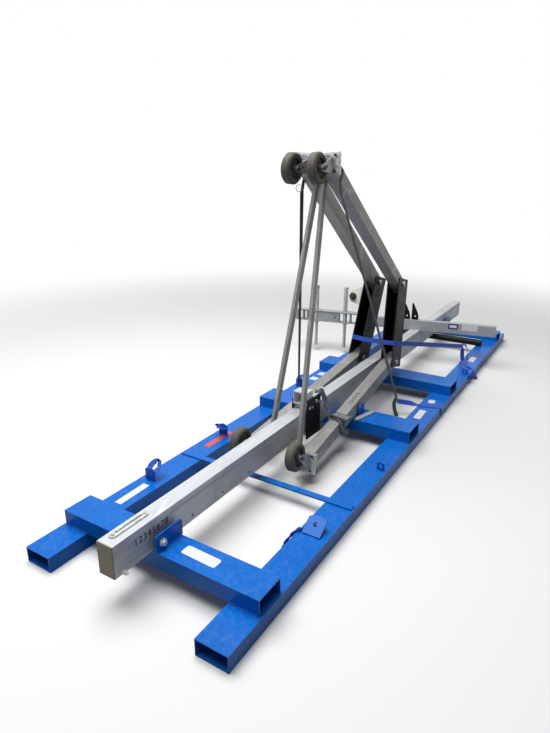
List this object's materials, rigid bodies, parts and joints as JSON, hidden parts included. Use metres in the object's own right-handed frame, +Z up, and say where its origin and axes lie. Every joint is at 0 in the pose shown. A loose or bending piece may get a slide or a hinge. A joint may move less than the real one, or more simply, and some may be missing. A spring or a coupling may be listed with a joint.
{
  "type": "portable gantry crane on skid",
  "caption": "Portable aluminium gantry crane with tyred castors, folded beside its lifting beam and lashed to a blue steel transport skid.",
  "frame": {"origin": "on the ground under the middle of the box around the whole pack", "axes": "+X along the skid and the lifting beam, towards the spreader bar; +Y across the skid, towards the left rail; +Z up"},
  "size_m": [5.047, 1.7928, 1.7496],
  "materials": {
    "paint": "gloss",
    "aluminium": "mill finish, dull",
    "dark_steel": "black, satin",
    "zinc": "zinc plated",
    "tyre": "matt, dusty",
    "cap": "matt",
    "cream": "satin",
    "dark_webbing": "woven, dull",
    "blue_webbing": "woven, dull"
  },
  "bodies": {
    "skid_pack": {"rail_right": "paint", "rail_left": "paint", "cross_front": "paint", "pocket_a": "paint", "pocket_b": "paint", "cross_far": "paint", "tie_bar": "paint", "lug_plates": "paint", "lashing_eyes": "paint", "beam": "aluminium", "beam_caps": "cap", "beam_fittings": "aluminium", "trolley_right": "dark_steel", "trolley_left": "dark_steel", "trolley_spindles": "zinc", "trolley_saddle": "aluminium", "slotted_bar": "aluminium", "low_leg_right": "aluminium", "low_leg_left": "aluminium", "low_foot_right": "zinc", "low_foot_left": "zinc", "top_leg_right": "aluminium", "top_leg_left": "aluminium", "top_foot_right": "zinc", "top_foot_left": "zinc", "base_tie_right": "aluminium", "base_tie_left": "aluminium", "head_channel_right": "dark_steel", "head_channel_left": "dark_steel", "head_bolts_right": "zinc", "head_bolts_left": "zinc", "guide_bracket": "cream", "guide_roller": "dark_steel", "spreader_bar": "aluminium", "spreader_cells": "aluminium", "spreader_gussets": "dark_steel", "jack_near": "zinc", "jack_far": "zinc", "roller_tube": "dark_steel", "dark_straps": "dark_webbing", "blue_straps": "blue_webbing", "ratchet": "zinc"},
    "castor_low_right": {"fork_low_right": "zinc"},
    "tyred_wheel_low_right": {"wheel_low_right": "tyre"},
    "castor_low_left": {"fork_low_left": "zinc"},
    "tyred_wheel_low_left": {"wheel_low_left": "tyre"},
    "castor_top_right": {"fork_top_right": "zinc"},
    "tyred_wheel_top_right": {"wheel_top_right": "tyre"},
    "castor_top_left": {"fork_top_left": "zinc"},
    "tyred_wheel_top_left": {"wheel_top_left": "tyre"}
  },
  "joints": [
    {"name": "low_right_swivel", "type": "hinge", "parent": "skid_pack", "child": "castor_low_right", "pos_m": [-1.38543, -0.4077, 0.16373], "axis": [-0.9275, -0.0017, 0.3738], "range_deg": [-135, 135]},
    {"name": "low_right_spin", "type": "hinge", "parent": "castor_low_right", "child": "tyred_wheel_low_right", "pos_m": [-1.37126, -0.40503, 0.19889], "axis": [0.0279, -0.9975, 0.0645], "continuous": true},
    {"name": "low_left_swivel", "type": "hinge", "parent": "skid_pack", "child": "castor_low_left", "pos_m": [-1.38543, -0.04253, 0.16373], "axis": [0.9275, -0.0017, -0.3738], "range_deg": [-135, 135]},
    {"name": "low_left_spin", "type": "hinge", "parent": "castor_low_left", "child": "tyred_wheel_low_left", "pos_m": [-1.37126, -0.0452, 0.19889], "axis": [0.0279, 0.9975, 0.0645], "continuous": true},
    {"name": "top_right_swivel", "type": "hinge", "parent": "skid_pack", "child": "castor_top_right", "pos_m": [-1.00391, -0.2975, 1.70244], "axis": [-0.9943, -0.021, 0.1043], "range_deg": [-25, 180]},
    {"name": "top_right_spin", "type": "hinge", "parent": "castor_top_right", "child": "tyred_wheel_top_right", "pos_m": [-1.00782, -0.30005, 1.66473], "axis": [0.0279, -0.9975, 0.0645], "continuous": true},
    {"name": "top_left_swivel", "type": "hinge", "parent": "skid_pack", "child": "castor_top_left", "pos_m": [-1.00391, -0.15273, 1.70244], "axis": [0.9943, -0.021, -0.1043], "range_deg": [-25, 180]},
    {"name": "top_left_spin", "type": "hinge", "parent": "castor_top_left", "child": "tyred_wheel_top_left", "pos_m": [-1.00782, -0.15018, 1.66473], "axis": [0.0279, 0.9975, 0.0645], "continuous": true}
  ]
}
